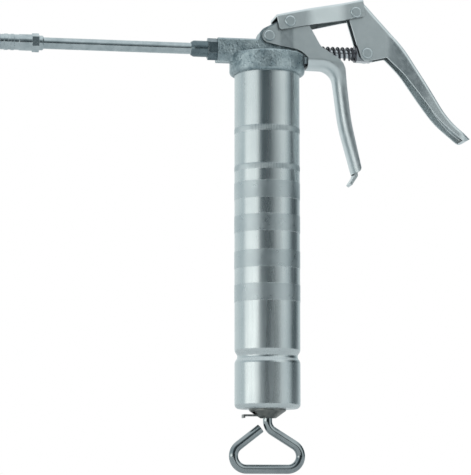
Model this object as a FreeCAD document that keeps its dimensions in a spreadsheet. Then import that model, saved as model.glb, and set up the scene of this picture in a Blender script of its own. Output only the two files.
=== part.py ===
import FreeCAD, Part
import math
import os
import Sketcher

# One-hand lever grease gun.
# Frame: origin on the barrel's centre line, half-way between the two middle knurled bands;
# +Z up towards the pump head, the outlet pipe runs towards -X, the lever lies towards +X.

os.makedirs("parts", exist_ok=True)
doc = FreeCAD.newDocument("grease_gun")

# ---------------------------------------------------------------- sizes (mm, degrees)
SIZES = [
    # barrel
    ("barrel_od", 57), ("barrel_wall", 1.2), ("barrel_length", 302.5), ("barrel_corner", 4),
    ("bead_above_end", 45), ("bead_depth", 2.3), ("bead_half", 6), ("end_hole_dia", 12),
    ("clip_stretch", 16), ("band_height", 15), ("band_gap", 14), ("band_rise", 0.15),
    # pump head
    ("pump_height", 170), ("ring_wall", 4.5), ("ring_height", 18), ("ring_drop", 22), ("ring_lip", 3),
    ("seat_drop", 10), ("gasket_thick", 1.5), ("block_out_left", 12), ("block_out_right", 5),
    ("block_width", 19), ("block_top", 9), ("block_bottom", 11), ("block_bevel", 5),
    ("port_dia", 8), ("thread_gap", 0.1), ("fit_gap", 0.04), ("side_gap", 0.35),
    # pins of the hand lever, measured from the barrel axis and the pump axis
    ("anchor_x", 0), ("anchor_rise", 11.5), ("rocker_x", 18), ("rocker_rise", 24.5),
    ("lever_out", 45.5), ("lever_rise", 36), ("pin_out", 56), ("pivot_slack", 1.75), ("pivot_side", 0.15),
    ("rivet_dia", 6), ("rivet_head_dia", 9.5), ("rivet_head", 1.5),
    # pressed sheet parts
    ("grip_sheet", 2.2), ("link_sheet", 1.9), ("lever_sheet", 2.0),
    ("grip_bend", 8), ("link_bend", 2.5), ("lever_bend", 3.2),
    ("grip_half_left", 11.9), ("grip_half_wide", 13.2), ("grip_half_handle", 10.4),
    ("lever_half_top", 6.7), ("lever_half_handle", 11.5),
    # pump
    ("plunger_dia", 8), ("plunger_start", 5), ("eye_thick", 8.2),
    ("packing_start", 18), ("packing_length", 6), ("gland_dia", 13), ("gland_flange", 7),
    ("gland_flange_dia", 16), ("return_gap", 0.3), ("return_wire", 1.8), ("return_turns", 6.3),
    ("washer_dia", 14.8), ("washer_thick", 1.5),
    ("seat_dia", 5), ("seat_start", 17), ("seat_end", 20), ("chamber_dia", 9), ("chamber_end", 33),
    ("ball_dia", 7), ("check_wire", 0.7), ("check_turns", 5),
    # outlet
    ("adapter_thread_dia", 12.6), ("adapter_hex", 17), ("hex_length", 8), ("adapter_dia", 14.2),
    ("adapter_length", 22.8), ("adapter_chamfer", 2.5), ("bore_dia", 5),
    ("pipe_dia", 10), ("pipe_insert", 11), ("pipe_visible", 128.7),
    # coupler
    ("coupler_length", 42), ("coupler_dia", 14.2), ("coupler_hex", 14.4), ("nose_length", 22),
    ("nipple_dia", 6.6), ("jaw_slit", 0.7), ("jaw_length", 6.5),
    ("grip_groove", 0.4), ("jaw_travel", 2), ("coupler_wire", 0.8), ("coupler_turns", 5),
    # follower and rod
    ("rod_dia", 8), ("follower_top", 13), ("follower_gap", 0.5), ("cup_height", 18.5),
    ("cup_floor", 4), ("cup_skirt", 2), ("plate_thick", 1.5), ("follower_wire", 2.8),
    ("follower_spring_od", 47), ("follower_turns", 19), ("nut_across", 13), ("nut_height", 5),
    # rod latch and handle loop
    ("guide_dia", 32), ("guide_tip_dia", 14.8), ("guide_height", 7.8), ("guide_wall", 1.2),
    ("latch_reach", 21.8), ("latch_width", 10), ("latch_thick", 1.5),
    ("loop_bend", 10), ("loop_corner", 11.2), ("loop_drop", 41), ("loop_left", 18.6),
]

sheet = doc.addObject("Spreadsheet::Sheet", "sizes")
for row, (alias, number) in enumerate(SIZES, 1):
    sheet.set(f"A{row}", alias.replace("_", " "))
    sheet.set(f"B{row}", str(number))
    sheet.setAlias(f"B{row}", alias)
doc.recompute()


class Size:
    """A length with its value and the sheet expression that it comes from."""

    def __init__(self, value, text):
        self.value = float(value)
        self.text = text

    def join(self, other, sign, flip=False):
        other = as_size(other)
        left, right = (other, self) if flip else (self, other)
        results = {"+": left.value + right.value, "-": left.value - right.value,
                   "*": left.value * right.value}
        value = left.value / right.value if sign == "/" else results[sign]
        return Size(value, f"({left.text} {sign} {right.text})")

    def __add__(self, other):
        return self.join(other, "+")

    def __radd__(self, other):
        return self.join(other, "+", True)

    def __sub__(self, other):
        return self.join(other, "-")

    def __rsub__(self, other):
        return self.join(other, "-", True)

    def __mul__(self, other):
        return self.join(other, "*")

    def __rmul__(self, other):
        return self.join(other, "*", True)

    def __truediv__(self, other):
        return self.join(other, "/")

    def __neg__(self):
        return Size(0, "0") - self


def as_size(number):
    return number if isinstance(number, Size) else Size(number, repr(float(number)))


class Cells:
    """The sheet's sizes by name."""

    def __getattr__(self, alias):
        return Size(sheet.get(alias), "sizes." + alias)


d = Cells()

# ---------------------------------------------------------------- places that several pieces share
pump_z = d.pump_height
ring_bottom = pump_z - d.ring_drop
ring_top = ring_bottom + d.ring_height
seat_z = pump_z - d.seat_drop
barrel_top = seat_z - d.gasket_thick
barrel_end = barrel_top - d.barrel_length
barrel_r = d.barrel_od / 2
ring_r = barrel_r + d.ring_wall
block_left = ring_r + d.block_out_left
block_right = ring_r + d.block_out_right
floor_z = barrel_end + d.barrel_wall
anchor = (d.anchor_x, pump_z + d.anchor_rise)
rocker = (d.rocker_x, pump_z + d.rocker_rise)
lever_pin = (ring_r + d.lever_out, pump_z + d.lever_rise)
plunger_pin = (ring_r + d.pin_out, pump_z)
rivet_r = d.rivet_dia / 2
plunger_r = d.plunger_dia / 2
rod_r = d.rod_dia / 2
link_half_wide = d.grip_half_wide + d.side_gap + d.link_sheet
link_half_end = d.lever_half_top + d.side_gap + d.link_sheet
gland_face = block_right + d.gland_flange
eye_left = plunger_pin[0] - 9.2
washer_left = eye_left - d.washer_thick
adapter_end = block_left + d.adapter_length
coupler_start = adapter_end + d.pipe_visible
coupler_end = coupler_start + d.coupler_length
nose_start = coupler_end - d.nose_length
follower_z = seat_z - d.follower_top
PLANES = {"XY": "XY_Plane", "XZ": "XZ_Plane", "YZ": "YZ_Plane"}
ALONG_X = FreeCAD.Rotation(FreeCAD.Vector(0, 1, 0), 90)


# ---------------------------------------------------------------- helpers
def new_body(label):
    body = doc.addObject("PartDesign::Body", label)
    body.Label = label
    return body


def origin_plane(body, plane):
    return next(item for item in body.Origin.OriginFeatures if item.Role == PLANES[plane])


def constrain_point(sketch, geo, pos, x, y):
    """Ties a point to the sketch's origin with two distances; returns their names and sizes."""
    named = []
    for kind, size in (("DistanceX", x), ("DistanceY", y)):
        index = sketch.addConstraint(Sketcher.Constraint(kind, -1, 1, geo, pos, size.value))
        name = f"{kind}_{geo}_{pos}"
        sketch.renameConstraint(index, name)
        named.append((name, size))
    return named


def bind(sketch, named):
    for name, size in named:
        sketch.setExpression(f"Constraints.{name}", size.text)


def add_loop(sketch, start, steps):
    """Draws a closed loop from start through the steps, of which the last comes back to start.
    A step is (x, y), (x, y, radius) for a rounded corner, or (via_x, via_y, x, y) for an arc."""
    here = tuple(as_size(value) for value in start)
    edges = []
    named = []
    for step in steps:
        step = tuple(as_size(value) for value in step)
        there = step[-2:] if len(step) == 4 else step[:2]
        first, last = (FreeCAD.Vector(x.value, y.value, 0) for x, y in (here, there))
        head, tail = 1, 2
        if len(step) == 4:
            via = FreeCAD.Vector(step[0].value, step[1].value, 0)
            geo = sketch.addGeometry(Part.Arc(first, via, last), False)
            if sketch.getPoint(geo, 1).distanceToPoint(first) > 1e-4:
                head, tail = 2, 1
            dot = sketch.addGeometry(Part.Point(via), True)
            named += constrain_point(sketch, dot, 1, *step[:2])
            sketch.addConstraint(Sketcher.Constraint("PointOnObject", dot, 1, geo))
        else:
            geo = sketch.addGeometry(Part.LineSegment(first, last), False)
        named += constrain_point(sketch, geo, head, *here)
        edges.append((geo, head, tail, step[2] if len(step) == 3 else None))
        here = there
    for number, (geo, head, tail, radius) in enumerate(edges):
        after = edges[(number + 1) % len(edges)]
        sketch.addConstraint(Sketcher.Constraint("Coincident", geo, tail, after[0], after[1]))
    for geo, head, tail, radius in edges:
        if radius:
            named.append(round_corner(sketch, geo, tail, radius))
    bind(sketch, named)


def round_corner(sketch, geo, tail, radius):
    """Rounds the corner at one end of an edge, and names the new arc's radius."""
    count = sketch.GeometryCount
    sketch.fillet(geo, tail, radius.value, True, True)
    arc = next(index for index in range(count, sketch.GeometryCount)
               if sketch.Geometry[index].TypeId == "Part::GeomArcOfCircle")
    index = sketch.addConstraint(Sketcher.Constraint("Radius", arc, radius.value))
    sketch.renameConstraint(index, f"Round_{arc}")
    return f"Round_{arc}", radius


def add_circle(sketch, x, y, radius):
    x, y, radius = as_size(x), as_size(y), as_size(radius)
    centre = FreeCAD.Vector(x.value, y.value, 0)
    circle = Part.Circle(centre, FreeCAD.Vector(0, 0, 1), radius.value)
    geo = sketch.addGeometry(circle, False)
    named = constrain_point(sketch, geo, 3, x, y)
    index = sketch.addConstraint(Sketcher.Constraint("Radius", geo, radius.value))
    sketch.renameConstraint(index, f"Radius_{geo}")
    bind(sketch, named + [(f"Radius_{geo}", radius)])


def new_sketch(body, plane, offset=0):
    """A sketch on one of the body's own planes, shifted along the plane's normal."""
    sketch = body.newObject("Sketcher::SketchObject", body.Label + "_outline")
    sketch.AttachmentSupport = [(origin_plane(body, plane), "")]
    sketch.MapMode = "FlatFace"
    offset = as_size(offset)
    if offset.value:
        sketch.AttachmentOffset = FreeCAD.Placement(FreeCAD.Vector(0, 0, offset.value),
                                                    FreeCAD.Rotation())
        sketch.setExpression("AttachmentOffset.Base.z", offset.text)
    return sketch


def finish(body, feature):
    doc.recompute()
    if not feature.Shape.isValid() or "Invalid" in feature.State:
        raise RuntimeError(f"{body.Label}: {feature.Name} failed: {feature.State}")
    return feature


def pad(body, sketch, length, symmetric=True, backwards=False):
    feature = body.newObject("PartDesign::Pad", body.Label + "_pad")
    feature.Profile = sketch
    feature.Midplane = symmetric
    feature.Reversed = backwards
    length = as_size(length)
    feature.Length = length.value
    feature.setExpression("Length", length.text)
    return finish(body, feature)


def pocket(body, sketch, length, symmetric=True, backwards=False):
    before = body.Shape.Volume
    feature = body.newObject("PartDesign::Pocket", body.Label + "_pocket")
    feature.Profile = sketch
    feature.Midplane = symmetric
    feature.Reversed = backwards
    length = as_size(length)
    feature.Length = length.value
    feature.setExpression("Length", length.text)
    finish(body, feature)
    if body.Shape.Volume > before - 1e-3:
        raise RuntimeError(f"{body.Label}: a pocket cut nothing")
    return feature


def turn(body, start, steps, cut=False):
    """Revolves an outline of (radius, height) about the body's own Z axis."""
    sketch = new_sketch(body, "XZ")
    add_loop(sketch, start, steps)
    before = body.Shape.Volume if cut else 0
    kind = "PartDesign::Groove" if cut else "PartDesign::Revolution"
    feature = body.newObject(kind, body.Label + "_turned")
    feature.Profile = sketch
    feature.ReferenceAxis = (sketch, ["V_Axis"])
    feature.Angle = 360
    finish(body, feature)
    if cut and body.Shape.Volume > before - 1e-3:
        raise RuntimeError(f"{body.Label}: a groove cut nothing")
    return feature


def turned(label, start, steps, along_x=False):
    """A turned piece; along_x lays its axis on the pump axis with height measured along X."""
    body = new_body(label)
    turn(body, start, steps)
    if along_x:
        lay_on_pump_axis(body)
    return body


def lay_on_pump_axis(body):
    body.Placement = FreeCAD.Placement(FreeCAD.Vector(0, 0, pump_z.value), ALONG_X)
    body.setExpression("Placement.Base.z", pump_z.text)


def ring_steps(inner, outer, low, high):
    """The start and steps of a plain ring's half section."""
    return (inner, low), [(outer, low), (outer, high), (inner, high), (inner, low)]


def fillet(body, base, edges, radius, label="fillet"):
    feature = body.newObject("PartDesign::Fillet", f"{body.Label}_{label}")
    feature.Base = (base, [f"Edge{index + 1}" for index in edges])
    radius = as_size(radius)
    feature.Radius = radius.value
    feature.setExpression("Radius", radius.text)
    return finish(body, feature)


def hexagon_pad(body, across, low, high):
    corner = across / math.sqrt(3)
    half = across / 2
    sketch = new_sketch(body, "XY", low)
    add_loop(sketch, (corner, 0), [(corner / 2, half), (-corner / 2, half), (-corner, 0),
                                   (-corner / 2, -half), (corner / 2, -half), (corner, 0)])
    return pad(body, sketch, high - low, symmetric=False)


def coil(label, radius, wire, low, high, turns, along_x=False):
    """A compression spring with closed ends, standing from low to high on its axis."""
    path_low = low.value + wire.value / 2
    path_high = high.value - wire.value / 2
    closed = wire.value * 1.02
    rise = path_high - path_low - 2 * closed
    mean = radius.value - wire.value / 2
    edges = []
    for start, height, count in ((path_low, closed, 1), (path_low + closed, rise, turns.value),
                                 (path_high - closed, closed, 1)):
        edges.append((start, height, count))
    wires = []
    angle = 0.0
    for start, height, count in edges:
        helix = Part.makeHelix(height / count, height, mean)
        helix.rotate(FreeCAD.Vector(), FreeCAD.Vector(0, 0, 1), angle)
        helix.translate(FreeCAD.Vector(0, 0, start))
        angle += 360 * count
        wires.extend(helix.Edges)
    path = Part.Wire(wires)
    begin = path.Edges[0].valueAt(path.Edges[0].FirstParameter)
    section = Part.Wire([Part.makeCircle(wire.value / 2, begin, FreeCAD.Vector(0, 1, 0))])
    spring = path.makePipeShell([section], True, False)
    feature = doc.addObject("Part::Feature", label)
    feature.Label = label
    feature.Shape = spring
    if along_x:
        feature.Placement = FreeCAD.Placement(FreeCAD.Vector(0, 0, pump_z.value), ALONG_X)
    return feature


PIECES = []


def keep(piece):
    PIECES.append(piece)
    return piece


# ---------------------------------------------------------------- pump head casting
def make_pump_head():
    """The cast head: threaded ring, pump block across it and a lug for the two rivets."""
    body = new_body("pump_head")
    lip = d.ring_lip
    bend = lip * 0.293
    turn(body, (0, ring_bottom), [
        (ring_r - lip, ring_bottom),
        (ring_r - bend, ring_bottom + bend, ring_r, ring_bottom + lip),
        (ring_r, ring_top - 2),
        (ring_r - 0.6, ring_top - 0.6, ring_r - 2, ring_top),
        (0, ring_top), (0, ring_bottom)])
    block = new_sketch(body, "YZ", -block_left)
    half = d.block_width / 2
    low = pump_z - d.block_bottom
    high = pump_z + d.block_top
    bevel = d.block_bevel
    add_loop(block, (-half, low + bevel), [
        (-half, high - 1.5), (1.5 - half, high), (half - 1.5, high), (half, high - 1.5),
        (half, low + bevel), (half - bevel * 0.7, low), (bevel * 0.7 - half, low),
        (-half, low + bevel)])
    pad(body, block, block_left + block_right, symmetric=False)
    lug = new_sketch(body, "XZ")
    add_lug_outline(lug)
    pad(body, lug, d.block_width)
    bore = barrel_r + d.thread_gap
    turn(body, *ring_steps(0, bore, ring_bottom - 1, seat_z), cut=True)
    turn(body, *ring_steps(0, d.port_dia / 2, seat_z - 1, pump_z), cut=True)
    cut_bores_along_x(body)
    pins = new_sketch(body, "XZ")
    for pin in (anchor, rocker):
        add_circle(pins, *pin, rivet_r + d.fit_gap)
    pocket(body, pins, d.block_width + 2)
    return body


def add_lug_outline(sketch):
    """The lug wraps the anchor pin and runs up to the rocker pin."""
    low = pump_z + d.block_top - 2
    left, right = 8.2, 5.2
    add_loop(sketch, (anchor[0] - left - 1.5, low), [
        (anchor[0] - left, anchor[1] - 1),
        (anchor[0] - left * 0.85, anchor[1] + left * 0.53, anchor[0] - left * 0.5, anchor[1] + left * 0.87),
        (rocker[0] - right * 0.6, rocker[1] + right * 0.8),
        (rocker[0], rocker[1] + right, rocker[0] + right * 0.8, rocker[1] + right * 0.6),
        (rocker[0] + right + 6, low), (anchor[0] - left - 1.5, low)])


def cut_bores_along_x(body):
    """The pump cylinder, its packing recess, the check valve's chamber and the outlet thread."""
    bores = [
        (d.adapter_thread_dia / 2 + d.fit_gap, -block_left - 1, -d.chamber_end),
        (d.chamber_dia / 2, -d.chamber_end - 1, -d.seat_end),
        (d.seat_dia / 2, -d.seat_end - 1, -d.seat_start),
        (plunger_r + d.fit_gap, -d.seat_start - 0.5, d.packing_start),
        (d.gland_dia / 2 + d.fit_gap, d.packing_start, block_right + 1),
    ]
    for radius, start, end in bores:
        circle = new_sketch(body, "YZ", start)
        add_circle(circle, 0, pump_z, radius)
        pocket(body, circle, end - start, symmetric=False, backwards=True)


# ---------------------------------------------------------------- pressed channels
def side_waste(body, plane, edges, less=0, reach=60):
    """Cuts away what lies outside a tapering half width, on both sides of the lever plane.
    edges are (distance, half width, radius of the bend) along the plane's long axis."""
    for side in (1, -1):
        sketch = new_sketch(body, plane)
        steps = [(along, (width - less) * side) + tuple(bend) for along, width, *bend in edges]
        steps += [(edges[-1][0], reach * side), (edges[0][0], reach * side)]
        if plane == "YZ":
            steps = [(width, along) + tuple(bend) for along, width, *bend in steps]
        add_loop(sketch, steps[0], steps[1:] + steps[:1])
        pocket(body, sketch, 600)


def web_edges(shape, half_width, towards):
    """The long edges where a channel's web meets its sides; towards is the web's outward way."""
    found = []
    for index, edge in enumerate(shape.Edges):
        middle = edge.valueAt((edge.FirstParameter + edge.LastParameter) / 2)
        if abs(middle.y) < half_width * 0.6:
            continue
        normals = [face_normal(face, middle) for face in shape.ancestorsOfType(edge, Part.Face)]
        side = [normal for normal in normals if abs(normal.y) > 0.8]
        web = [normal for normal in normals if abs(normal.y) < 0.3 and towards(normal, middle)]
        if side and web:
            found.append(index)
    return found


def face_normal(face, point):
    u, v = face.Surface.parameter(point)
    return face.normalAt(u, v)


def channel(label, outside_loop, inside_loops, tapers, thickness, bend, towards, pins, lips=()):
    """A pressed channel: the outside shape, less inside shapes one sheet thickness narrower.
    The first inside shape follows the bend between web and sides; the others stay square.
    lips are (start, steps, width) outlines added to the sheet."""
    half_width = tapers[0][1][0][1].value
    rounds = [bend, bend - thickness] + [None] * (len(inside_loops) - 1)
    bodies = []
    for number, (start, steps) in enumerate([outside_loop] + inside_loops):
        body = new_body(f"{label}_{'inside' if number else 'outside'}_{number}")
        sketch = new_sketch(body, "XZ")
        add_loop(sketch, start, steps)
        pad(body, sketch, 80)
        less = thickness if number else 0
        for plane, edges in tapers:
            side_waste(body, plane, edges, less)
        if rounds[number]:
            fillet(body, body.Tip, web_edges(body.Shape, half_width, towards), rounds[number])
        bodies.append(body)
    for start, steps, width in lips:
        sketch = new_sketch(bodies[0], "XZ")
        add_loop(sketch, start, steps)
        pad(bodies[0], sketch, width)
    holes = new_sketch(bodies[0], "XZ")
    for pin in pins:
        add_circle(holes, *pin, rivet_r + d.fit_gap)
    pocket(bodies[0], holes, 100)
    piece = bodies[0]
    for number, tool in enumerate(bodies[1:], 1):
        cut = doc.addObject("Part::Cut", label if number == len(bodies) - 1 else f"{label}_cut")
        cut.Label = cut.Name
        cut.Base = piece
        cut.Tool = tool
        piece = cut
    doc.recompute()
    return piece


def shifted(corners, dx, dz):
    """Moves a loop's rounded or plain corners by one vector."""
    return [(corner[0] + dx, corner[1] + dz) + tuple(corner[2:]) for corner in corners]


def from_flank(x, z, *radius):
    """A corner measured from the ring's flank and the pump axis."""
    return (ring_r + x, pump_z + z) + radius


def from_pin(pin, x, z, *radius):
    """A corner measured from a pin's centre."""
    return (pin[0] + x, pin[1] + z) + radius


def closed(corners):
    """A loop's start and steps from its corners."""
    return corners[0][:2], corners[1:] + corners[:1]


# ---------------------------------------------------------------- fixed grip
def make_fixed_grip():
    """The fixed grip: wrapped over the head's lug, then down as the handle with a hooked foot."""
    gap = d.grip_sheet
    handle = [
        from_flank(2.6, 21.4, 2), from_flank(13, 3, 12), from_flank(34.3, -10.2, 15),
        from_flank(40, -61.3, 180)]
    web = [from_flank(30.7, -64.9, 170), from_flank(24.6, -15.5, 12)]
    outside = closed(
        [from_pin(anchor, -14.9, -3, 6), from_pin(rocker, -0.5, 5.9, 5), from_flank(-2.5, 26.5)]
        + handle + [from_flank(49.8, -105.5, 4), from_flank(42.6, -108)]
        + web + [from_flank(1.5, -15.2), from_flank(1.5, -7), from_flank(-5, -0.6, 20),
                 from_pin(anchor, 10, -8.8, 30)])
    web_end = 0.5 - gap
    handle_space = shifted(
        [from_flank(web_end, 30)] + handle + [from_flank(50.4, -107.5), from_flank(42.4, -107.5)]
        + web + [from_flank(web_end, -15.2)], gap, gap)
    head_space = [from_flank(1.6, -40), from_flank(1.6, 40), from_flank(-60, 40), from_flank(-60, -40)]
    tapers = [
        ("XY", [(-15, d.grip_half_left + 0.2), (rocker[0] - 8, d.grip_half_left + 0.2, 20),
                (rocker[0] + 3, d.grip_half_wide, 20), (ring_r + 90, d.grip_half_wide)]),
        ("YZ", [(pump_z + 60, d.grip_half_wide), (pump_z - 12, d.grip_half_wide, 40),
                (pump_z - 32, d.grip_half_handle, 40), (pump_z - 130, d.grip_half_handle)])]
    lip = closed([
        from_flank(44.2, -106.5), from_flank(43.4, -110.2, 3), from_flank(39.2, -116.6),
        from_flank(41.2, -118.2), from_flank(46.6, -109.9), from_flank(46.4, -106.5)])

    def towards(normal, point):
        on_web = point.x > ring_r.value + 2 and point.z > pump_z.value - 104
        return on_web and (normal.x < -0.3 or normal.z < -0.3)

    return channel("fixed_grip", outside, [closed(handle_space), closed(head_space)], tapers, gap,
                   d.grip_bend, towards, [anchor, rocker], lips=[lip + (d.grip_half_handle * 1.4,)])


# ---------------------------------------------------------------- link and squeeze lever
def make_top_link():
    """The link over the grip's crown: a channel open below, notched over the lever."""
    gap = d.link_sheet
    outside = closed([
        from_pin(rocker, -11.7, 5.8), from_pin(lever_pin, 6.6, 12.4), from_pin(lever_pin, 8.2, -3.3, 2),
        from_pin(rocker, -1.1, -6.4, 10), from_pin(rocker, -9.4, -8.1, 2.5)])
    hollow = shifted([from_pin(rocker, -21.7, 3.5), from_pin(lever_pin, 15.5, 14.4),
                      from_pin(lever_pin, 15.5, -30), from_pin(rocker, -21.7, -30)], 0, -gap)
    notch = [from_pin(lever_pin, 1.5, 20), from_pin(lever_pin, 20, 20),
             from_pin(lever_pin, 20, -20), from_pin(lever_pin, 1.5, -20)]
    tapers = [("XY", [(rocker[0] - 30, link_half_wide), (ring_r + 3, link_half_wide, 40),
                      (lever_pin[0] - 12.5, link_half_end, 40), (lever_pin[0] + 30, link_half_end)])]

    def towards(normal, point):
        return normal.z > 0.8

    return channel("top_link", outside, [closed(hollow), closed(notch)], tapers, gap, d.link_bend,
                   towards, [rocker, lever_pin])


def make_squeeze_lever():
    """The squeeze lever: a channel whose web is its back, flared from the pins to the handle."""
    gap = d.lever_sheet
    back = [from_pin(lever_pin, 8.1, 9.4), from_pin(lever_pin, 43, -28.5, 110),
            from_pin(lever_pin, 83.8, -95, 80)]
    tip = [from_pin(lever_pin, 103.5, -110), from_pin(lever_pin, 97.5, -113.6, 4)]
    front = [from_pin(lever_pin, 74.4, -94.5, 85), from_pin(lever_pin, 43, -52.7, 75),
             from_pin(lever_pin, 28.6, -38.9, 1.5)]
    outside = closed([from_pin(lever_pin, -8.15, 3.85, 6.5)] + back + tip + front
                     + [from_pin(plunger_pin, -4.6, -7.9, 6.4)])
    hollow = shifted(back + [from_pin(lever_pin, 101.5, -108.5), from_pin(lever_pin, 91.2, -114.7)]
                     + [from_pin(lever_pin, 60, -119), from_pin(lever_pin, -40, -60),
                        from_pin(lever_pin, -40, 12)], -gap * 0.8, -gap * 0.6)
    tapers = [("XY", [(ring_r + 20, d.lever_half_top), (lever_pin[0] + 32, d.lever_half_top, 40),
                      (lever_pin[0] + 62, d.lever_half_handle, 40),
                      (lever_pin[0] + 95, d.lever_half_handle, 12),
                      (lever_pin[0] + 107, d.lever_half_handle - 6)])]

    def towards(normal, point):
        return normal.x > 0.3 and normal.z > 0 and point.x > lever_pin[0].value + 8

    return channel("squeeze_lever", outside, [closed(hollow)], tapers, gap, d.lever_bend, towards,
                   [lever_pin, plunger_pin])


def make_rivet(label, pin, half):
    """A rivet across the lever plane with a shallow flat-topped head on each side."""
    body = new_body(label)
    head_r = d.rivet_head_dia / 2
    end = half + d.rivet_head
    flat = head_r - 1.2
    turn(body, (0, -end), [
        (flat, -end), (flat + 0.85, -end + 0.4, head_r, -half), (rivet_r, -half), (rivet_r, half),
        (head_r, half), (flat + 0.85, end - 0.4, flat, end), (0, end), (0, -end)])
    across = FreeCAD.Rotation(FreeCAD.Vector(1, 0, 0), 90)
    body.Placement = FreeCAD.Placement(FreeCAD.Vector(pin[0].value, 0, pin[1].value), across)
    body.setExpression("Placement.Base.x", pin[0].text)
    body.setExpression("Placement.Base.z", pin[1].text)
    return body


# ---------------------------------------------------------------- pump pieces on the pump axis
def make_plunger():
    """The pump plunger: a ground rod with a flat eye whose slot takes the lever's pin."""
    body = new_body("pump_plunger")
    turn(body, *ring_steps(0, plunger_r, d.plunger_start, eye_left + 2))
    lay_on_pump_axis(body)
    slack = d.pivot_slack
    eye = new_sketch(body, "XZ")
    right = plunger_pin[0] + 6.4
    add_loop(eye, (-5.9, eye_left), [
        (-5.9, right - 4), (-4.4, right - 1.2, -1.5, right), (slack + 1.8, right),
        (slack + 4.6, right - 1.2, slack + 5.1, right - 4), (slack + 5.1, eye_left), (-5.9, eye_left)])
    pad(body, eye, d.eye_thick)
    slot = new_sketch(body, "XZ")
    hole = rivet_r + d.pivot_side
    left, middle = plunger_pin[0] - hole, plunger_pin[0]
    add_loop(slot, (0, left), [
        (-hole, middle, 0, middle + hole), (slack, middle + hole), (slack + hole, middle, slack, left),
        (0, left)])
    pocket(body, slot, d.eye_thick + 2)
    return body


def make_gland_nut():
    """The packing nut: a threaded sleeve with a round flange that seats the return spring."""
    sleeve = d.gland_dia / 2
    flange = d.gland_flange_dia / 2
    inner = plunger_r + d.fit_gap
    return turned("gland_nut", (inner, d.packing_start + d.packing_length + 0.1), [
        (sleeve, d.packing_start + d.packing_length + 0.1), (sleeve, block_right),
        (flange, block_right), (flange, gland_face - 1), (flange - 1, gland_face),
        (inner, gland_face), (inner, d.packing_start + d.packing_length + 0.1)], along_x=True)


def make_packing():
    low = d.packing_start
    return turned("plunger_packing", *ring_steps(plunger_r + d.fit_gap, d.gland_dia / 2, low,
                                                 low + d.packing_length), along_x=True)


def make_spring_washer():
    return turned("spring_washer", *ring_steps(plunger_r, d.washer_dia / 2, washer_left, eye_left),
                  along_x=True)


def make_check_ball():
    """The outlet check ball, resting on the rim of its seat."""
    ball_r = d.ball_dia / 2
    back = math.sqrt(ball_r.value ** 2 - (d.seat_dia.value / 2) ** 2) + 0.06
    centre = -d.seat_end - back
    return turned("check_ball", (0, centre - ball_r),
                  [(ball_r, centre, 0, centre + ball_r), (0, centre - ball_r)], along_x=True)


# ---------------------------------------------------------------- outlet
def make_outlet_adapter():
    """The outlet fitting: thread, hexagon and a plain sleeve that holds the pipe."""
    body = new_body("outlet_adapter")
    thread = d.adapter_thread_dia / 2
    hex_end = block_left + d.hex_length
    outer = d.adapter_dia / 2
    nose = d.adapter_chamfer
    turn(body, (0, -d.chamber_end), [
        (thread, -d.chamber_end), (thread, -block_left), (outer, -block_left),
        (outer, nose - adapter_end), (outer - nose * 0.5, -adapter_end), (0, -adapter_end),
        (0, -d.chamber_end)])
    hexagon_pad(body, d.adapter_hex, -hex_end, -block_left)
    turn(body, *ring_steps(0, d.bore_dia / 2, -adapter_end - 1, 1 - d.chamber_end), cut=True)
    turn(body, *ring_steps(0, d.pipe_dia / 2 + d.fit_gap, -adapter_end - 1,
                           d.pipe_insert - adapter_end), cut=True)
    lay_on_pump_axis(body)
    return body


def make_delivery_pipe():
    return turned("delivery_pipe", *ring_steps(
        d.bore_dia / 2, d.pipe_dia / 2, -coupler_start - d.pipe_insert,
        d.pipe_insert - 0.2 - adapter_end), along_x=True)


def make_coupler_body():
    """The coupler's rear half: pipe thread, hexagon and the spigot that carries the nose."""
    body = new_body("coupler_body")
    outer = d.coupler_dia / 2
    neck = outer - 1.6
    spigot = outer - 1.6
    spigot_end = nose_start + 7
    turn(body, (0, -coupler_start), [
        (neck, -coupler_start), (neck + 0.9, -coupler_start - 1), (neck + 0.9, -coupler_start - 4),
        (outer, -coupler_start - 5), (outer, -nose_start), (spigot, -nose_start),
        (spigot, -spigot_end), (0, -spigot_end), (0, -coupler_start)])
    hexagon_pad(body, d.coupler_hex, -coupler_start - 10, -coupler_start - 4)
    stop = coupler_start + d.pipe_insert + 0.3
    cuts = [(d.pipe_dia / 2 + d.fit_gap, coupler_start - 1, stop), (1.5, stop - 1, stop + 5),
            (4.1, stop + 4, spigot_end + 1)]
    for radius, near, far in cuts:
        turn(body, *ring_steps(0, radius, -far, -near), cut=True)
    lay_on_pump_axis(body)
    return body


def jaw_cone(low_gap):
    """Inner radii of the nose: the guide bore and its narrowing mouth."""
    return d.coupler_dia / 2 - 1.5 - low_gap, d.nipple_dia / 2 + 1.6 - low_gap


def make_coupler_nose():
    """The screwed nose with three shallow grip grooves, coned inside to close the jaws."""
    outer = d.coupler_dia / 2
    bore, mouth = jaw_cone(0)
    groove = outer - d.grip_groove
    tip = -coupler_end
    steps = [(outer - 1, tip), (outer, tip + 1)]
    for start, end in ((4.1, 8), (11.1, 13.8), (16.4, 20.9)):
        steps += [(outer, tip + start), (groove, tip + start + 0.3), (groove, tip + end - 0.3),
                  (outer, tip + end)]
    steps += [(outer, -nose_start), (bore, -nose_start), (bore, tip + 7.5), (mouth, tip + 0.5),
              (mouth, tip)]
    return turned("coupler_nose", (mouth, tip), steps, along_x=True)


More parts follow.
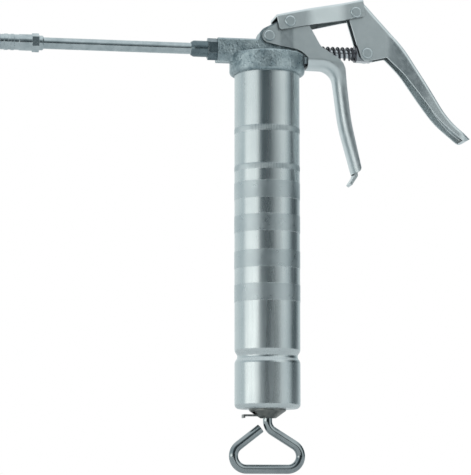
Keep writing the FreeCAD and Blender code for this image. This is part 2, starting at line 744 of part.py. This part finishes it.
def make_coupler_jaws():
    """Four jaws that grip a grease nipple: a coned ring cut by two crossed slits."""
    body = new_body("coupler_jaws")
    bore, mouth = jaw_cone(0.12)
    inner = d.nipple_dia / 2
    tip = 0.6 - coupler_end
    back = tip + d.jaw_length
    turn(body, (inner, tip), [(mouth, tip), (bore, tip + 7), (bore, back + 1), (inner, back + 1),
                              (inner, tip)])
    half = d.jaw_slit / 2
    reach = d.coupler_dia
    for long_x, long_y in ((reach, half), (half, reach)):
        slit = new_sketch(body, "XY", tip - 1)
        add_loop(slit, (-long_x, -long_y), [(long_x, -long_y), (long_x, long_y),
                                            (-long_x, long_y), (-long_x, -long_y)])
        pocket(body, slit, d.jaw_length + 4, symmetric=False, backwards=True)
    lay_on_pump_axis(body)
    return body


def jaw_back():
    return 1.6 - coupler_end + d.jaw_length


def make_coupler_seal():
    back = jaw_back()
    return turned("coupler_seal", *ring_steps(1.4, d.nipple_dia / 2 + 0.9, back + 0.1, back + 2.6),
                  along_x=True)


def make_seal_carrier():
    """The sprung sleeve that pushes the seal and the jaws into the cone."""
    low = jaw_back() + 2.7
    return turned("seal_carrier", (1.4, low), [
        (4.9, low), (4.9, low + 2), (3.8, low + 2), (3.8, low + 5.5), (1.4, low + 5.5), (1.4, low)],
        along_x=True)


# ---------------------------------------------------------------- barrel and follower
def wall_outline(inset):
    """The barrel's wall line from its open top to the bottom corner, one inset inside the skin."""
    radius = barrel_r - inset
    bead = barrel_end + d.bead_above_end
    half = d.bead_half
    deep = d.bead_depth
    return [
        (radius, bead + half), (radius - deep * 0.13, bead + half * 0.75, radius - deep * 0.48,
                                bead + half * 0.5),
        (radius - deep, bead, radius - deep * 0.48, bead - half * 0.5),
        (radius - deep * 0.13, bead - half * 0.75, radius, bead - half)]


def make_barrel_tube():
    """The drawn barrel: open top, one rolled bead and a closed bottom with the rod's hole."""
    corner = d.barrel_corner
    wall = d.barrel_wall
    inner_corner = corner - wall
    bend = 0.293
    inner_r = barrel_r - wall
    hole = d.end_hole_dia / 2
    outside = wall_outline(0) + [
        (barrel_r, barrel_end + corner),
        (barrel_r - corner * bend, barrel_end + corner * bend, barrel_r - corner, barrel_end),
        (hole, barrel_end), (hole, floor_z), (inner_r - inner_corner, floor_z),
        (inner_r - inner_corner * bend, floor_z + inner_corner * bend, inner_r,
         floor_z + inner_corner)]
    inside = wall_outline(wall)
    upward = [inside[3][-2:], inside[3][:2] + inside[2][-2:], inside[2][:2] + inside[1][-2:],
              inside[1][:2] + inside[0][-2:]]
    top = [(inner_r, barrel_top), (barrel_r, barrel_top)]
    return turned("barrel_tube", (barrel_r, barrel_top), band_steps() + outside + upward + top)


def band_steps():
    """The four raised knurled bands, two above the origin's plain stretch and two below it."""
    raised = barrel_r + d.band_rise
    half = d.clip_stretch / 2
    pitch = d.band_height + d.band_gap
    tops = [half + pitch + d.band_height, half + d.band_height, -half, -half - pitch]
    steps = []
    for high in tops:
        low = high - d.band_height
        steps += [(barrel_r, high), (raised, high), (raised, low), (barrel_r, low)]
    return steps


def make_gasket():
    return turned("barrel_gasket", *ring_steps(barrel_r - 4, barrel_r - 0.1, barrel_top, seat_z))


def make_follower_cup():
    """The rubber follower: a floor with a skirt that wipes the barrel wall."""
    outer = barrel_r - d.barrel_wall - d.follower_gap
    low = follower_z - d.cup_height
    inner = rod_r + d.follower_gap
    skirt = outer - d.cup_skirt
    under = follower_z - d.cup_floor
    return turned("follower_cup", (inner, under), [
        (skirt, under), (skirt, low), (outer, low), (outer, follower_z - 2),
        (outer - 2, follower_z), (inner, follower_z), (inner, under)])


def make_follower_plate(label, low, outer):
    return turned(label, *ring_steps(rod_r + d.follower_gap, outer, low, low + d.plate_thick))


def make_follower_nut():
    """The rod's end nut, above the follower."""
    low = follower_z + d.plate_thick + 0.3
    body = new_body("follower_nut")
    hexagon_pad(body, d.nut_across, low, low + d.nut_height)
    turn(body, *ring_steps(0, rod_r, low - 1, low + d.nut_height + 1), cut=True)
    return body


def make_rod_collar():
    """The ring pressed on the rod that pushes against the follower from below."""
    high = follower_z - d.cup_floor - d.plate_thick - 0.3
    return turned("rod_collar", *ring_steps(rod_r, rod_r + 3.5, high - 3, high))


# ---------------------------------------------------------------- rod, loop handle and latch
def rod_path():
    """The rod's centre line: straight down, then bent into a closed triangular loop."""
    top = follower_z.value + d.plate_thick.value + 0.3 + d.nut_height.value
    bend = d.loop_bend.value
    corner = d.loop_corner.value
    start_z = barrel_end.value - d.guide_height.value - 2.7
    foot_z = start_z - d.loop_drop.value
    slant = math.radians(58)
    turn_x = bend * (1 - math.cos(slant))
    turn_z = start_z - bend * math.sin(slant)
    way = FreeCAD.Vector(math.sin(slant), 0, -math.cos(slant))
    inward = FreeCAD.Vector(-way.z * -1, 0, -way.x)
    run = (turn_z - corner * way.x - (foot_z + corner)) / -way.z
    bent = FreeCAD.Vector(turn_x, 0, turn_z)
    right_in = bent + way * run
    right_centre = right_in + inward * corner
    left_centre = FreeCAD.Vector(-d.loop_left.value, 0, foot_z + corner)
    back = math.radians(37.7)
    back_way = FreeCAD.Vector(math.cos(back), 0, math.sin(back))
    left_out = left_centre + FreeCAD.Vector(-back_way.z, 0, back_way.x) * corner
    end = left_out + back_way * ((-rod_r.value - 2.2 - left_out.x) / back_way.x)
    top_point = FreeCAD.Vector(0, 0, top)
    straight_end = FreeCAD.Vector(0, 0, start_z)
    half_bend = FreeCAD.Vector(bend * (1 - math.cos(slant / 2)), 0,
                               start_z - bend * math.sin(slant / 2))
    right_foot = right_centre + FreeCAD.Vector(0, 0, -corner)
    left_foot = left_centre + FreeCAD.Vector(0, 0, -corner)
    right_middle = right_centre + arc_middle(right_in, right_foot, right_centre) * corner
    left_middle = left_centre + arc_middle(left_foot, left_out, left_centre) * corner
    return Part.Wire([
        Part.makeLine(top_point, straight_end),
        Part.Arc(straight_end, half_bend, bent).toShape(),
        Part.makeLine(bent, right_in),
        Part.Arc(right_in, right_middle, right_foot).toShape(),
        Part.makeLine(right_foot, left_foot),
        Part.Arc(left_foot, left_middle, left_out).toShape(),
        Part.makeLine(left_out, end)])


def arc_middle(first, last, centre):
    """The unit direction from the centre to the outer middle of an arc of up to 180 degrees."""
    middle = (first - centre) + (last - centre)
    return middle.normalize()


def make_follower_rod():
    path = rod_path()
    start = path.Edges[0].valueAt(path.Edges[0].FirstParameter)
    section = Part.Wire([Part.makeCircle(rod_r.value, start, FreeCAD.Vector(0, 0, 1))])
    feature = doc.addObject("Part::Feature", "follower_rod")
    feature.Label = "follower_rod"
    feature.Shape = path.makePipeShell([section], True, False)
    ratio = feature.Shape.Volume / (math.pi * rod_r.value ** 2 * path.Length)
    print(f"follower_rod volume over section times length: {ratio:.4f}")
    return feature


def make_rod_guide():
    """The coned cap under the barrel that guides the rod and houses the latch plate."""
    body = new_body("rod_guide")
    base = d.guide_dia / 2
    tip = d.guide_tip_dia / 2
    low = barrel_end - d.guide_height
    wall = d.guide_wall
    hole = rod_r + 0.35
    turn(body, (base - wall, barrel_end), [
        (base, barrel_end), (base, barrel_end - 1.5), (tip, low), (hole, low), (hole, low + wall),
        (tip - wall * 0.4, low + wall), (base - wall, barrel_end - 1.8), (base - wall, barrel_end)])
    slot = new_sketch(body, "YZ", 4)
    half = d.latch_width / 2 + 0.4
    floor = low + wall
    add_loop(slot, (-half, floor - 1.4), [(half, floor - 1.4), (half, floor + 3.8), (-half, floor + 3.8),
                                          (-half, floor - 1.4)])
    slot_sketch_reach = base + 2
    pocket(body, slot, slot_sketch_reach, symmetric=False)
    return body


def make_rod_latch():
    """The latch plate: tilted by its spring it bites the rod; its tab sticks out at the side."""
    body = new_body("rod_latch")
    low = barrel_end - d.guide_height + d.guide_wall + 0.35
    thick = d.latch_thick
    tab = new_sketch(body, "XZ")
    right = d.guide_tip_dia / 2 - 1.9
    left = -d.latch_reach
    add_loop(tab, (right, low), [
        (right, low + thick), (left, low + thick), (left, low - 1.5), (left + thick, low - 1.5),
        (left + thick, low), (right, low)])
    pad(body, tab, d.latch_width)
    hole = new_sketch(body, "XY", low - 1)
    add_circle(hole, 0, 0, rod_r + 0.5)
    pocket(body, hole, thick + 2, symmetric=False, backwards=True)
    return body


def make_pieces():
    """Every separate piece, one node each."""
    for make in (make_pump_head, make_fixed_grip, make_top_link, make_squeeze_lever, make_plunger,
                 make_gland_nut, make_packing, make_spring_washer, make_check_ball,
                 make_outlet_adapter, make_delivery_pipe, make_coupler_body, make_coupler_nose,
                 make_coupler_jaws, make_coupler_seal, make_seal_carrier, make_barrel_tube,
                 make_gasket, make_follower_cup, make_follower_nut, make_rod_collar,
                 make_follower_rod, make_rod_guide, make_rod_latch):
        keep(make())
    keep(make_rivet("grip_rivet", anchor, d.grip_half_left + 0.35))
    keep(make_rivet("link_rivet", rocker, link_half_wide + 0.15))
    keep(make_rivet("lever_rivet", lever_pin, link_half_end + 0.15))
    keep(make_rivet("plunger_pin", plunger_pin, d.lever_half_top + 0.02))
    keep(make_follower_plate("follower_top_plate", follower_z, barrel_r * 0.77))
    under = follower_z - d.cup_floor - d.plate_thick
    keep(make_follower_plate("follower_under_plate", under, barrel_r - d.barrel_wall
                             - d.follower_gap * 2 - d.cup_skirt))
    keep(coil("return_spring", plunger_r + d.return_gap + d.return_wire, d.return_wire, gland_face, washer_left,
              d.return_turns, along_x=True))
    ball_back = d.seat_end + d.ball_dia + 0.1
    keep(coil("check_spring", d.ball_dia / 2 - 0.6, d.check_wire, -d.chamber_end, -ball_back + 1,
              d.check_turns, along_x=True))
    carrier_back = jaw_back() + 2.7 + 5.5
    chamber_back = -(coupler_start + d.pipe_insert + 0.3 + 5)
    keep(coil("coupler_spring", Size(3.7, "3.7"), d.coupler_wire, carrier_back, chamber_back,
              d.coupler_turns, along_x=True))
    keep(coil("follower_spring", d.follower_spring_od / 2, d.follower_wire, floor_z, under,
              d.follower_turns))
    latch_top = barrel_end - d.guide_height + d.guide_wall + 0.35 + d.latch_thick
    keep(coil("latch_spring", rod_r + 1.9, Size(0.8, "0.8"), latch_top, barrel_end, Size(2, "2")))


make_pieces()
doc.recompute()
for item in doc.Objects:
    if "Invalid" in item.State or "Error" in item.State:
        raise RuntimeError(f"{item.Label} failed: {item.State}")
for piece in PIECES:
    if piece.Shape.isNull() or not piece.Shape.isValid():
        raise RuntimeError(f"{piece.Label} has no valid shape")
for piece in PIECES:
    piece.Shape.exportStep(f"parts/{piece.Label}.step")
    print(f"{piece.Label}: {len(piece.Shape.Solids)} solid(s), {piece.Shape.Volume:.0f} mm3")
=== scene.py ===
# %% [markdown]
# # A one-hand lever grease gun
# The gun is a hand pump for bearing grease. A drawn steel barrel holds the grease, a cast head
# carries the pump, a channel-shaped lever and grip are squeezed together, and a steel pipe with a
# grip coupler leads the grease to the nipple. Every part that moves or carries load comes ready
# made from the frame. This lesson gives those parts their finishes, adds the knurled bands and
# ribbed rings that are rolled into the barrel, and sets up a studio to look at it.

# %% Open the frame
import math

import bmesh
import bpy
from mathutils import Matrix, Vector


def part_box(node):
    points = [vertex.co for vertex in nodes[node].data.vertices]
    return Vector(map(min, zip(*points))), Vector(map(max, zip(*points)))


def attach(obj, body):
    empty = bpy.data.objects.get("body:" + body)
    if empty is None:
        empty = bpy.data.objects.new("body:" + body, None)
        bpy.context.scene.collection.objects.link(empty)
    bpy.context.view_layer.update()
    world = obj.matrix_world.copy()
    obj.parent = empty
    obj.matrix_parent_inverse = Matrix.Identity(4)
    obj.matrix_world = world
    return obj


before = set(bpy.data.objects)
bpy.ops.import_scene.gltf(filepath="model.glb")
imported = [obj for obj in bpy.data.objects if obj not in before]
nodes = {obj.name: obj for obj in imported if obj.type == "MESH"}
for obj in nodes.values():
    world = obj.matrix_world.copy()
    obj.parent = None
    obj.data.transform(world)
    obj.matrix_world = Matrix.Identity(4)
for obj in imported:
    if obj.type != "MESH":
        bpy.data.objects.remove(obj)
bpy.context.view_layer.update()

MM = 0.001

# %% [markdown]
# ## Where things are
# The barrel's skin is measured from the frame's own part, so that a change of its size carries
# through to here. The barrel's box gives its skin, and its top and bottom are printed.

# %% Barrel places
barrel_low, barrel_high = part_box("barrel_tube")
band_skin = barrel_high.x
BAND_PROUD = 0.15 * MM
skin = band_skin - BAND_PROUD
print(f"barrel skin radius {skin / MM:.2f} mm, from {barrel_low.z / MM:.1f} to {barrel_high.z / MM:.1f} mm")

# %% [markdown]
# ## A builder for metal finishes
# Real metal is never one flat colour. Plating drifts a little in tone over centimetres, the
# polish changes over millimetres, grain shows at tenths of a millimetre, and handling brightens
# the edges. One function lays down these layers, with pits and painted shade in recesses where a finish
# asks for them.
# All patterns are measured in metres on the part itself, so that they are the right scale.


# %% Small node helpers
def add_node(tree, kind, links=(), **values):
    """Adds a shader node, sets its properties and plugs sockets in from (socket, source) pairs."""
    node = tree.nodes.new(kind)
    for key, value in values.items():
        setattr(node, key, value)
    for socket, source in links:
        if isinstance(source, bpy.types.NodeSocket):
            tree.links.new(source, node.inputs[socket])
        else:
            node.inputs[socket].default_value = source
    return node


def noise(tree, place, size, detail=3.0, rough=0.55):
    """Cloudy noise whose blotches are about size metres across."""
    node = add_node(tree, "ShaderNodeTexNoise", [("Vector", place), ("Scale", 1 / size),
                                                 ("Detail", detail), ("Roughness", rough)])
    return node.outputs["Fac"]


def remap(tree, value, low, high, from_low=0.3, from_high=0.7):
    """Spreads a noise value over the range low to high."""
    node = add_node(tree, "ShaderNodeMapRange", [("Value", value), ("From Min", from_low),
                                                 ("From Max", from_high), ("To Min", low),
                                                 ("To Max", high)])
    return node.outputs["Result"]


def stretch(tree, place, scale):
    """Stretches a pattern along an axis, as rolling or drawing does."""
    node = add_node(tree, "ShaderNodeMapping", [("Vector", place), ("Scale", scale)])
    return node.outputs["Vector"]


def blend_colour(tree, share, dark, light):
    node = add_node(tree, "ShaderNodeMix", data_type="RGBA")
    tree.links.new(share, node.inputs["Factor"])
    for socket, value in (("A", dark), ("B", light)):
        place = [item for item in node.inputs if item.name == socket and item.type == "RGBA"][0]
        if isinstance(value, bpy.types.NodeSocket):
            tree.links.new(value, place)
        else:
            place.default_value = (*value, 1)
    return [item for item in node.outputs if item.type == "RGBA"][0]


# %% [markdown]
# The builder blends two tones with slow noise, then lightens the edges: a bevelled normal that no
# longer agrees with the flat one marks an edge. Recesses are found by how little open space is
# near, and are darkened with painted shade. The grain is a bump, because it is far too fine to be modelled.

# %% The metal builder
RECESS_REACH = 12 * MM
# The near-black colour of the painted shade laid into recesses.
RECESS_SHADE_COLOUR = (0.012, 0.016, 0.018)
WEAR_PATCH = 3 * MM


def metal(name, dark, light, roughness, spread=0.06, metallic=1.0, drift=14 * MM, grain=0.5 * MM,
          depth=0.01 * MM, lay=(1, 1, 1), edge=0.35 * MM, wear=0.5, bright=(0.8, 0.83, 0.85),
          pits=None, recess_shade=0.0):
    """A metal finish: tone drift, polish drift, grain, worn edges and painted shade in the recesses."""
    material = bpy.data.materials.new(name)
    material.use_nodes = True
    tree = material.node_tree
    shader = tree.nodes["Principled BSDF"]
    place = add_node(tree, "ShaderNodeTexCoord").outputs["Object"]
    run = stretch(tree, place, lay)
    tone = remap(tree, noise(tree, place, drift, 4.0), 0.0, 1.0)
    colour = blend_colour(tree, tone, dark, light)
    round_edge = add_node(tree, "ShaderNodeBevel", [("Radius", edge)], samples=4)
    flat = add_node(tree, "ShaderNodeNewGeometry").outputs["Normal"]
    agree = add_node(tree, "ShaderNodeVectorMath", operation="DOT_PRODUCT")
    tree.links.new(round_edge.outputs[0], agree.inputs[0])
    tree.links.new(flat, agree.inputs[1])
    worn = remap(tree, agree.outputs["Value"], wear, 0.0, 0.86, 0.995)
    patchy = add_node(tree, "ShaderNodeMath", operation="MULTIPLY")
    tree.links.new(worn, patchy.inputs[0])
    tree.links.new(remap(tree, noise(tree, place, WEAR_PATCH), 0.2, 1.0), patchy.inputs[1])
    colour = blend_colour(tree, patchy.outputs[0], colour, bright)
    # Painted shade: ambient occlusion darkens the recesses towards a near-black colour.
    if recess_shade:
        occlusion = add_node(tree, "ShaderNodeAmbientOcclusion", [("Distance", RECESS_REACH)], samples=6)
        shade_share = remap(tree, occlusion.outputs["AO"], recess_shade, 0.0, 0.30, 0.75)
        colour = blend_colour(tree, shade_share, colour, RECESS_SHADE_COLOUR)
    tree.links.new(colour, shader.inputs["Base Color"])
    polish = remap(tree, noise(tree, run, drift / 4, 5.0), roughness - spread, roughness + spread)
    tree.links.new(polish, shader.inputs["Roughness"])
    height = noise(tree, run, grain, 2.0)
    normal = round_edge.outputs[0]
    if pits:
        size, pit_depth = pits
        pebbles = noise(tree, place, size, 2.5, 0.5)
        bump = add_node(tree, "ShaderNodeBump", [("Height", pebbles), ("Distance", pit_depth),
                                                 ("Normal", normal)])
        normal = bump.outputs["Normal"]
    fine = add_node(tree, "ShaderNodeBump", [("Height", height), ("Distance", depth),
                                             ("Normal", normal)])
    tree.links.new(fine.outputs["Normal"], shader.inputs["Normal"])
    shader.inputs["Metallic"].default_value = metallic
    return material


def dress(material, *names):
    """Puts a finish on parts of the frame."""
    for name in names:
        slots = nodes[name].material_slots
        if not slots:
            nodes[name].data.materials.append(material)
        for index in range(len(slots)):
            nodes[name].data.materials[index] = material


print("metal builder ready")

# %% [markdown]
# ## The finishes
# The casting is rough and plated over, so it glitters in small pebbles. The pressed sheet is
# satin zinc. The barrel is a drawn tube with faint lines along its length. The pipe and the
# coupler are bright turned steel, the springs are dark oiled wire and the loop is polished rod.

# %% Cast, pressed and drawn steel
cast = metal("cast_zinc", (0.22, 0.285, 0.315), (0.52, 0.60, 0.62), 0.34, 0.12, drift=9 * MM,
             grain=1.1 * MM, depth=0.20 * MM, pits=(2.0 * MM, 0.9 * MM), wear=0.35)
# The pressed sheet gets strong painted shade in the recesses of its channels.
pressed = metal("pressed_zinc", (0.68, 0.735, 0.745), (0.76, 0.81, 0.82), 0.35, 0.05,
                grain=0.6 * MM, depth=0.03 * MM, wear=0.55, recess_shade=0.9)
drawn = metal("drawn_barrel", (0.58, 0.63, 0.64), (0.66, 0.705, 0.71), 0.27, 0.05, drift=30 * MM,
              grain=0.5 * MM, depth=0.006 * MM, lay=(1, 1, 0.06), edge=0.2 * MM)
dress(cast, "pump_head")
dress(pressed, "fixed_grip", "top_link", "squeeze_lever")
dress(drawn, "barrel_tube")

# %% [markdown]
# The pipe and coupler have faint lines along them, and the adapter and ground pieces have closer
# lines across. Springs are left dark and oily against rust. The packing, seals and cup are
# rubber, which isn't a metal, so the same builder is told to leave the metallic part out.

# %% Turned, sprung and rubber finishes
bright_plate = metal("bright_plate", (0.40, 0.46, 0.48), (0.58, 0.64, 0.66), 0.15, 0.05,
                     drift=8 * MM, grain=0.3 * MM, depth=0.006 * MM, lay=(0.1, 1, 1))
adapter_steel = metal("adapter_steel", (0.12, 0.16, 0.18), (0.20, 0.25, 0.27), 0.28, 0.06,
                      drift=6 * MM, grain=0.3 * MM, depth=0.01 * MM, lay=(6, 1, 1), wear=0.8)
rivet_steel = metal("rivet_steel", (0.60, 0.665, 0.68), (0.68, 0.74, 0.755), 0.35, 0.06,
                    drift=4 * MM, depth=0.02 * MM)
ground_steel = metal("ground_steel", (0.50, 0.52, 0.55), (0.60, 0.62, 0.65), 0.18, 0.04,
                     drift=5 * MM, depth=0.005 * MM, lay=(6, 1, 1))
spring_steel = metal("spring_steel", (0.08, 0.08, 0.09), (0.17, 0.17, 0.19), 0.30, 0.08,
                     drift=4 * MM, depth=0.01 * MM, edge=0.1 * MM)
polished_rod = metal("polished_rod", (0.27, 0.30, 0.315), (0.38, 0.42, 0.43), 0.10, 0.04,
                     drift=18 * MM, depth=0.006 * MM)
zinc_plate = metal("zinc_plate", (0.16, 0.17, 0.17), (0.30, 0.30, 0.28), 0.35, 0.08, drift=6 * MM)
rubber = metal("black_rubber", (0.012, 0.012, 0.013), (0.03, 0.03, 0.032), 0.62, 0.1, metallic=0.0,
               drift=5 * MM, grain=0.4 * MM, depth=0.03 * MM, wear=0.1, bright=(0.08, 0.08, 0.08))
dress(bright_plate, "delivery_pipe", "coupler_body", "coupler_nose")
dress(adapter_steel, "outlet_adapter", "gland_nut")
dress(rivet_steel, "grip_rivet", "link_rivet", "lever_rivet", "plunger_pin")
dress(ground_steel, "pump_plunger", "check_ball", "coupler_jaws", "seal_carrier")
dress(spring_steel, "return_spring", "check_spring", "coupler_spring", "follower_spring",
      "latch_spring", "spring_washer")
dress(polished_rod, "follower_rod", "rod_collar", "follower_nut")
dress(zinc_plate, "rod_guide", "rod_latch", "follower_top_plate", "follower_under_plate")
dress(rubber, "plunger_packing", "coupler_seal", "barrel_gasket", "follower_cup")
print("finishes on", len(nodes), "parts")

# %% [markdown]
# ## Rolled knurling
# Oily hands slip on a smooth tube, so bands of fine diamonds are rolled into the barrel. The
# wheel leaves small four-sided points with a little flat metal between them, so the band still
# mirrors the room faintly. A bump texture would vanish at the silhouette, so the points are
# real geometry: a grid is wrapped round the barrel, and one grid point in eight is pushed out,
# in staggered rows. Each grid square is split along the diagonal that starts at its highest point.


# %% A wrapped grid
def wrapped_grid(name, low, high, columns, rows, rise):
    """A skin round the barrel; rise(column, row) is each point's height over the band."""
    mesh = bmesh.new()
    rings = []
    for row in range(rows + 1):
        z = low + (high - low) * row / rows
        ring = []
        for column in range(columns):
            angle = 2 * math.pi * column / columns
            radius = band_skin + rise(column, row)
            ring.append(mesh.verts.new((radius * math.cos(angle), radius * math.sin(angle), z)))
        rings.append(ring)
    for row in range(rows):
        for column in range(columns):
            after = (column + 1) % columns
            corners = [(column, row), (after, row), (after, row + 1), (column, row + 1)]
            points = [rings[place[1]][place[0]] for place in corners]
            heights = [rise(*place) for place in corners]
            first = heights.index(max(heights))
            a, b, c, d = points[first:] + points[:first]
            mesh.faces.new((a, b, c))
            mesh.faces.new((a, c, d))
    data = bpy.data.meshes.new(name)
    mesh.to_mesh(data)
    mesh.free()
    piece = bpy.data.objects.new(name, data)
    bpy.context.scene.collection.objects.link(piece)
    return piece


def put_on_barrel(piece, material):
    piece.data.materials.append(material)
    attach(piece, "barrel")


# %% [markdown]
# Four bands are rolled, two above and two below a plain stretch where the hand or a clip goes
# round. The first and last row of each band drop nearly to the plain skin, so the band has a
# soft border instead of a loose edge.

# %% Knurled bands
BAND_HEIGHT = 15 * MM
BAND_GAP = 14 * MM
PLAIN_STRETCH = 16 * MM
DIAMOND_WIDE = 1.9 * MM
DIAMOND_TALL = 1.4 * MM
POINT_RISE = 0.08 * MM
LAND_RISE = 0.02 * MM
BORDER_SINK = 0.12 * MM
knurl_columns = 4 * round(2 * math.pi * band_skin / DIAMOND_WIDE)
knurl_rows = 4 * round(BAND_HEIGHT / DIAMOND_TALL)


def diamond_rise(column, row):
    if row in (0, knurl_rows):
        return -BORDER_SINK
    if (column % 4, row % 4) in ((0, 1), (2, 3)):
        return POINT_RISE
    return LAND_RISE


half_stretch = PLAIN_STRETCH / 2
pitch = BAND_HEIGHT + BAND_GAP
band_lows = [-half_stretch - pitch - BAND_HEIGHT, -half_stretch - BAND_HEIGHT, half_stretch,
             half_stretch + pitch]
knurled = metal("knurled_barrel", (0.48, 0.535, 0.55), (0.58, 0.63, 0.64), 0.31, 0.06,
                drift=30 * MM, depth=0.01 * MM, edge=0.03 * MM, wear=0.0)
for number, low in enumerate(band_lows, 1):
    band = wrapped_grid(f"knurled_band_{number}", low, low + BAND_HEIGHT, knurl_columns, knurl_rows,
                        diamond_rise)
    put_on_barrel(band, knurled)
print(f"4 bands of {knurl_columns} by {knurl_rows} grid points")

# %% [markdown]
# ## Ribbed rings
# Above the knurling two narrow rings of short upright ribs frame the stretch where a maker
# would roll a mark, which this gun leaves plain. A ring is the same wrapped grid with every
# third line of points pushed out.

# %% Ribbed rings
RIB_PITCH = 1.35 * MM
RING_HEIGHT = 5.7 * MM
RING_LOWS = (61.7 * MM, 95 * MM)
RIB_ROWS = 4
RIB_RISE = 0.14 * MM
VALLEY_RISE = 0.02 * MM
RING_SINK = 0.03 * MM
rib_columns = 3 * round(2 * math.pi * skin / RIB_PITCH)
rib_base = skin - band_skin


def rib_rise(column, row):
    if row in (0, RIB_ROWS):
        return rib_base - RING_SINK
    return rib_base + (RIB_RISE if column % 3 == 0 else VALLEY_RISE)


for number, low in enumerate(RING_LOWS, 1):
    ring = wrapped_grid(f"ribbed_ring_{number}", low, low + RING_HEIGHT, rib_columns, RIB_ROWS,
                        rib_rise)
    put_on_barrel(ring, knurled)
print(f"2 rings of {rib_columns // 3} ribs")

# %% [markdown]
# ## The studio
# Shiny metal shows what stands around it. A white backdrop, two tall softboxes and a dark room
# behind the camera draw the long light and dark bands down the barrel. The world holds this
# studio as a soft ring of light and dark, the floor is a plain pale sheet.

# %% Camera
TURN = math.radians(10)
RISE = math.radians(-7)
DISTANCE = 1.914
SIDE = 27.6 * MM
AIM = Vector((0, 0, 5 * MM))
FOCAL_LENGTH = 166.737
back = Vector((-math.sin(TURN) * math.cos(RISE), -math.cos(TURN) * math.cos(RISE), math.sin(RISE)))
right = Vector((math.cos(TURN), -math.sin(TURN), 0))
up = back.cross(right)
camera = bpy.data.objects.new("camera", bpy.data.cameras.new("camera"))
bpy.context.scene.collection.objects.link(camera)
camera.data.sensor_width = 36
camera.data.lens = FOCAL_LENGTH
camera.data.clip_end = 20
turn = Matrix((right, up, back)).transposed().to_4x4()
camera.matrix_world = Matrix.Translation(AIM - SIDE * right + DISTANCE * back) @ turn
bpy.context.scene.camera = camera
print("camera stands at", [round(value, 3) for value in camera.matrix_world.translation])

# %% [markdown]
# The floor lies about six centimetres below the loop handle, so the gun's shadow on it is faint.
# It is nearly matt, so no sharp highlight shows in it.

# %% Floor
FLOOR_Z = -0.26
bpy.ops.mesh.primitive_grid_add(x_subdivisions=4, y_subdivisions=4, size=8, location=(0, 0, FLOOR_Z))
floor = bpy.context.object
floor.name = "floor"
paper = bpy.data.materials.new("floor_paper")
paper.use_nodes = True
paper.node_tree.nodes["Principled BSDF"].inputs["Base Color"].default_value = (0.86, 0.86, 0.86, 1)
paper.node_tree.nodes["Principled BSDF"].inputs["Roughness"].default_value = 0.8
floor.data.materials.append(paper)

# %% [markdown]
# The light is one ring of bright and dark stretches. It is fixed in the room and not to the
# camera, so the bands on the barrel change as they would on a real one when it is walked round.

# %% World light
# Brightness around the object, by the angle from the camera's side: (degrees, brightness). The
# softboxes lean, so the ring seen from low down differs from the ring seen from higher up.
LOW_RING = [(-180, 0.95), (-125, 0.85), (-105, 0.75), (-88, 0.70), (-80, 1.8), (-36, 1.8), (-24, 0.12),
            (-10, 0.04), (36, 0.04), (56, 0.85), (80, 0.70), (96, 0.10), (120, 0.12), (142, 0.70),
            (180, 0.95)]
HIGH_RING = [(-180, 0.95), (-125, 0.80), (-105, 0.72), (-88, 0.60), (-80, 0.66), (-36, 0.62),
             (-24, 0.18), (-10, 0.10), (12, 0.13), (32, 0.90), (60, 1.05), (84, 0.35), (98, 0.04),
             (122, 0.05), (140, 0.5), (180, 0.95)]
SHADE = Vector((0.62, 0.88, 1.0))
BRIGHTEST = 2.0
world = bpy.data.worlds.new("studio")
bpy.context.scene.world = world
world.use_nodes = True
tree = world.node_tree
tree.nodes.clear()
way = add_node(tree, "ShaderNodeTexCoord").outputs["Generated"]
parts = add_node(tree, "ShaderNodeSeparateXYZ", [("Vector", way)])
spin = add_node(tree, "ShaderNodeVectorRotate", [("Vector", way), ("Angle", TURN)],
                rotation_type="Z_AXIS")
aside = add_node(tree, "ShaderNodeSeparateXYZ", [("Vector", spin.outputs["Vector"])])
ahead = add_node(tree, "ShaderNodeMath", [(0, aside.outputs["Y"]), (1, -1.0)], operation="MULTIPLY")
angle = add_node(tree, "ShaderNodeMath", [(0, aside.outputs["X"]), (1, ahead.outputs[0])],
                 operation="ARCTAN2")
share = add_node(tree, "ShaderNodeMapRange", [("Value", angle.outputs[0]), ("From Min", -math.pi),
                                              ("From Max", math.pi)])


def ring_of_light(stops):
    """A colour ramp over the angle round the object; dim stretches are bluer than bright ones."""
    ramp = add_node(tree, "ShaderNodeValToRGB", [("Fac", share.outputs["Result"])])
    elements = ramp.color_ramp.elements
    for number, (degrees, brightness) in enumerate(stops):
        stop = elements[number] if number < 2 else elements.new(0.999)
        stop.position = (degrees + 180) / 360
        tint = SHADE.lerp(Vector((1, 1.01, 0.98)), min(1, brightness / 1.2))
        stop.color = tuple(tint * (brightness / BRIGHTEST)) + (1,)
    return ramp.outputs["Color"]


climb = add_node(tree, "ShaderNodeMapRange", [("Value", parts.outputs["Z"]), ("From Min", 0.09),
                                              ("From Max", 0.22)])
ring = blend_colour(tree, climb.outputs["Result"], ring_of_light(LOW_RING), ring_of_light(HIGH_RING))
overhead = add_node(tree, "ShaderNodeMapRange", [("Value", parts.outputs["Z"]), ("From Min", 0.4),
                                                 ("From Max", 0.8)], interpolation_type="SMOOTHSTEP")
sky = blend_colour(tree, overhead.outputs["Result"], ring, (0.42, 0.45, 0.46))
lighting = add_node(tree, "ShaderNodeBackground", [("Color", sky), ("Strength", BRIGHTEST)])
blank = add_node(tree, "ShaderNodeBackground", [("Color", (1, 1, 1, 1)), ("Strength", 1.0)])
seen = add_node(tree, "ShaderNodeLightPath").outputs["Is Camera Ray"]
either = add_node(tree, "ShaderNodeMixShader", [(0, seen), (1, lighting.outputs[0]),
                                                (2, blank.outputs[0])])
add_node(tree, "ShaderNodeOutputWorld", [("Surface", either.outputs[0])])
bpy.context.scene.view_settings.view_transform = "Standard"
print("world light set with", len(LOW_RING), "and", len(HIGH_RING), "stops")
